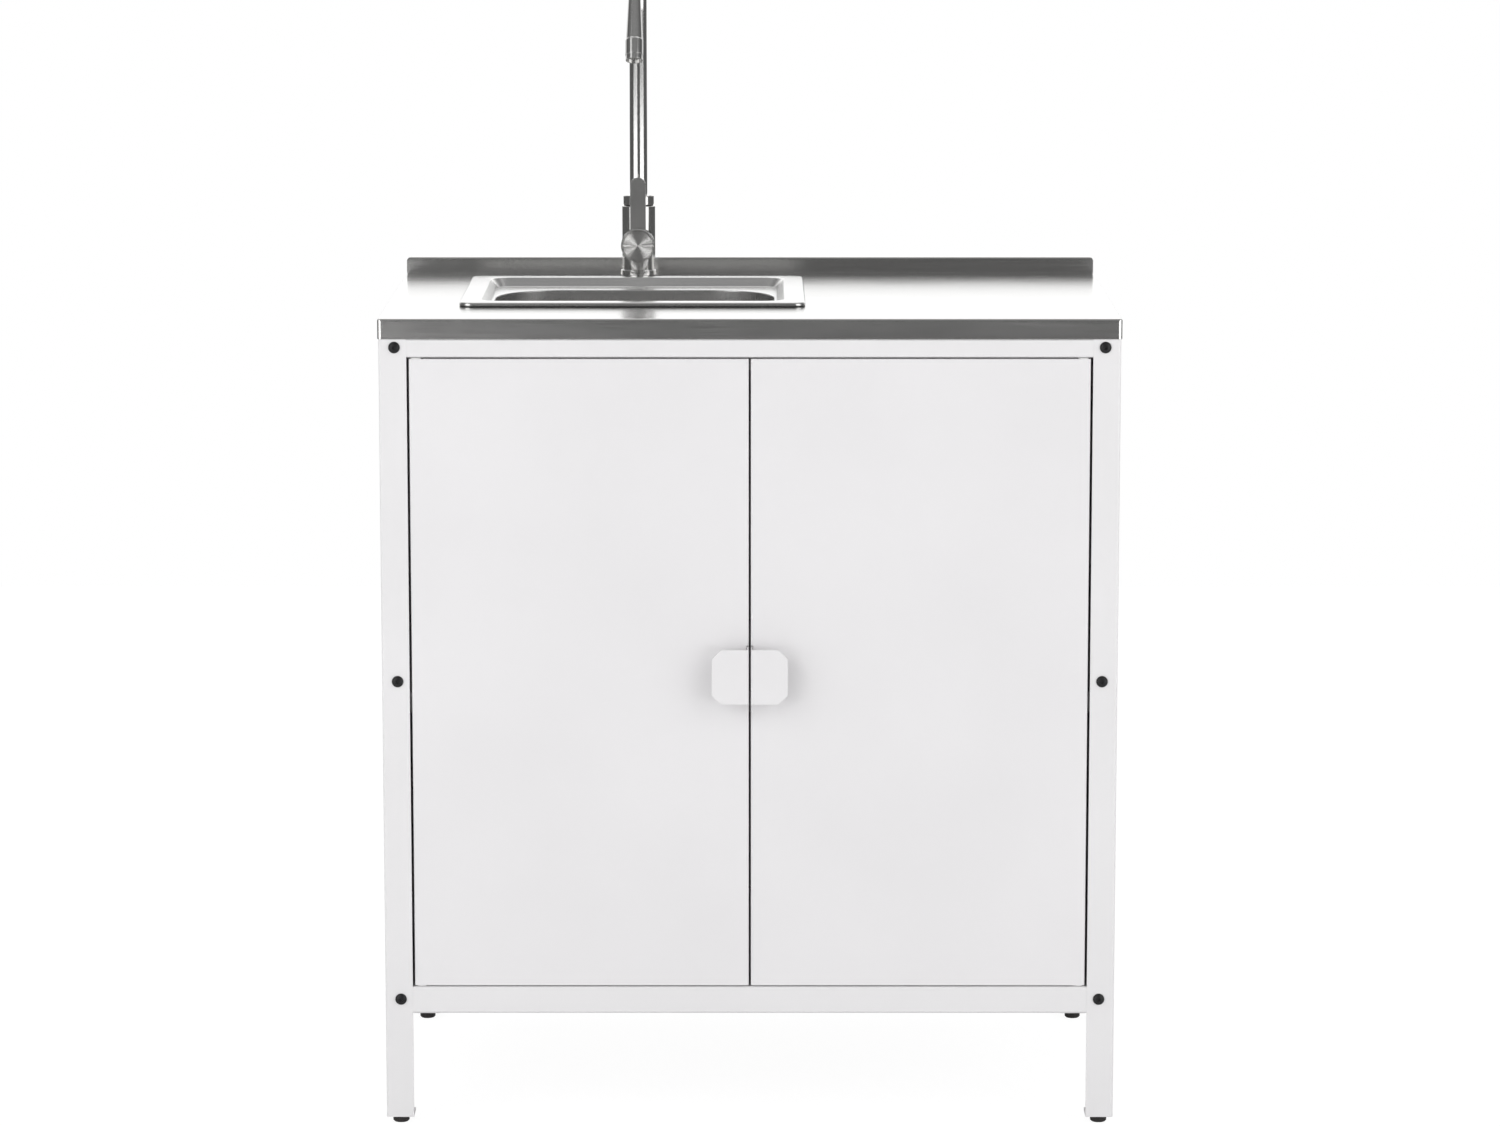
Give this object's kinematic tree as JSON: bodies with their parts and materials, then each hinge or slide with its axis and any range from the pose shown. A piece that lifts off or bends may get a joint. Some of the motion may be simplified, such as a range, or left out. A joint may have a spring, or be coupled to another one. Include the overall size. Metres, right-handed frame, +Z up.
{
  "type": "outdoor kitchen",
  "caption": "Free-standing outdoor kitchen: white folded-steel cabinet on four legs, two hinged doors, steel worktop with upstand, drop-in sink and swivelling gooseneck mixer tap.",
  "frame": {"origin": "on the floor, at the centre of the whole object seen from above", "axes": "+Z up, +X to the right as one faces the doors, -Y out of the doors"},
  "size_m": [0.8, 0.5232, 1.2877],
  "materials": {
    "white_coat": "fine matt powder coat",
    "worktop_steel": "satin stainless sheet, brushed along its width",
    "sink_steel": "pressed stainless sheet, soft polish",
    "tap_steel": "brushed nickel and stainless",
    "zinc_steel": "bright zinc plate",
    "black_steel": "black oxide",
    "black_plastic": "moulded black",
    "white_plastic": "moulded white",
    "rubber": "matt black seal",
    "brass": "turned"
  },
  "bodies": {
    "cabinet": {"front_left_leg": "white_coat", "front_right_leg": "white_coat", "rear_left_leg": "white_coat", "rear_right_leg": "white_coat", "glide_feet": "black_plastic", "base_tray": "white_coat", "mid_shelf": "white_coat", "shelf_pegs": "zinc_steel", "left_side_panel": "white_coat", "right_side_panel": "white_coat", "back_panel": "white_coat", "front_top_rail": "white_coat", "rear_top_rail": "white_coat", "worktop": "worktop_steel", "worktop_ribs": "worktop_steel", "worktop_screws": "zinc_steel", "frame_bolts": "black_steel", "frame_nuts": "zinc_steel", "hinge_pins": "zinc_steel", "magnet_catch": "white_plastic", "catch_magnets": "black_plastic", "sink": "sink_steel", "sink_bowl": "sink_steel", "sink_seal": "rubber", "sink_clips": "sink_steel", "waste_flange": "sink_steel", "waste_body": "white_plastic", "waste_nut": "white_plastic", "trap_bottle": "white_plastic", "trap_cup": "white_plastic", "trap_nuts": "white_plastic", "outlet_pipe": "white_plastic", "tap_gasket": "rubber", "tap_base_ring": "tap_steel", "tap_body": "tap_steel", "tap_nut": "brass", "tap_cartridge": "white_plastic", "swivel_washer": "rubber"},
    "left_door": {"left_door_panel": "white_coat", "left_handle": "white_coat", "left_hinge_bushes": "white_plastic", "left_stiffener": "white_coat", "left_strike": "zinc_steel"},
    "right_door": {"right_door_panel": "white_coat", "right_handle": "white_coat", "right_hinge_bushes": "white_plastic", "right_stiffener": "white_coat", "right_strike": "zinc_steel"},
    "spout": {"spout_tube": "tap_steel", "spout_seals": "rubber", "swivel_collar": "tap_steel", "outlet_collar": "tap_steel", "aerator": "tap_steel"},
    "mixer_turn": {"mixer_ball": "tap_steel", "rocker_pin": "zinc_steel"},
    "mixer_lever": {"lever_cap": "tap_steel", "lever_stem": "tap_steel", "lever_blade": "tap_steel"},
    "strainer": {"strainer_basket": "sink_steel", "strainer_knob": "sink_steel"}
  },
  "joints": [
    {"name": "left_door_swing", "type": "hinge", "parent": "cabinet", "child": "left_door", "pos_m": [-0.359, -0.23315, 0.5015], "axis": [0, 0, -1], "range_deg": [0, 110]},
    {"name": "right_door_swing", "type": "hinge", "parent": "cabinet", "child": "right_door", "pos_m": [0.359, -0.23315, 0.5015], "axis": [0, 0, 1], "range_deg": [0, 110]},
    {"name": "spout_swivel", "type": "hinge", "parent": "cabinet", "child": "spout", "pos_m": [-0.129, 0.22235, 0.96], "axis": [0, 0, 1], "continuous": true},
    {"name": "lever_turn", "type": "hinge", "parent": "cabinet", "child": "mixer_turn", "pos_m": [-0.129, 0.19735, 0.928], "axis": [0, 1, 0], "range_deg": [-45, 45]},
    {"name": "lever_lift", "type": "hinge", "parent": "mixer_turn", "child": "mixer_lever", "pos_m": [-0.129, 0.19735, 0.928], "axis": [1, 0, 0], "range_deg": [0, 20]},
    {"name": "strainer_lift", "type": "slide", "parent": "cabinet", "child": "strainer", "axis": [0, 0, 1], "range_m": [0, 0.06]}
  ]
}
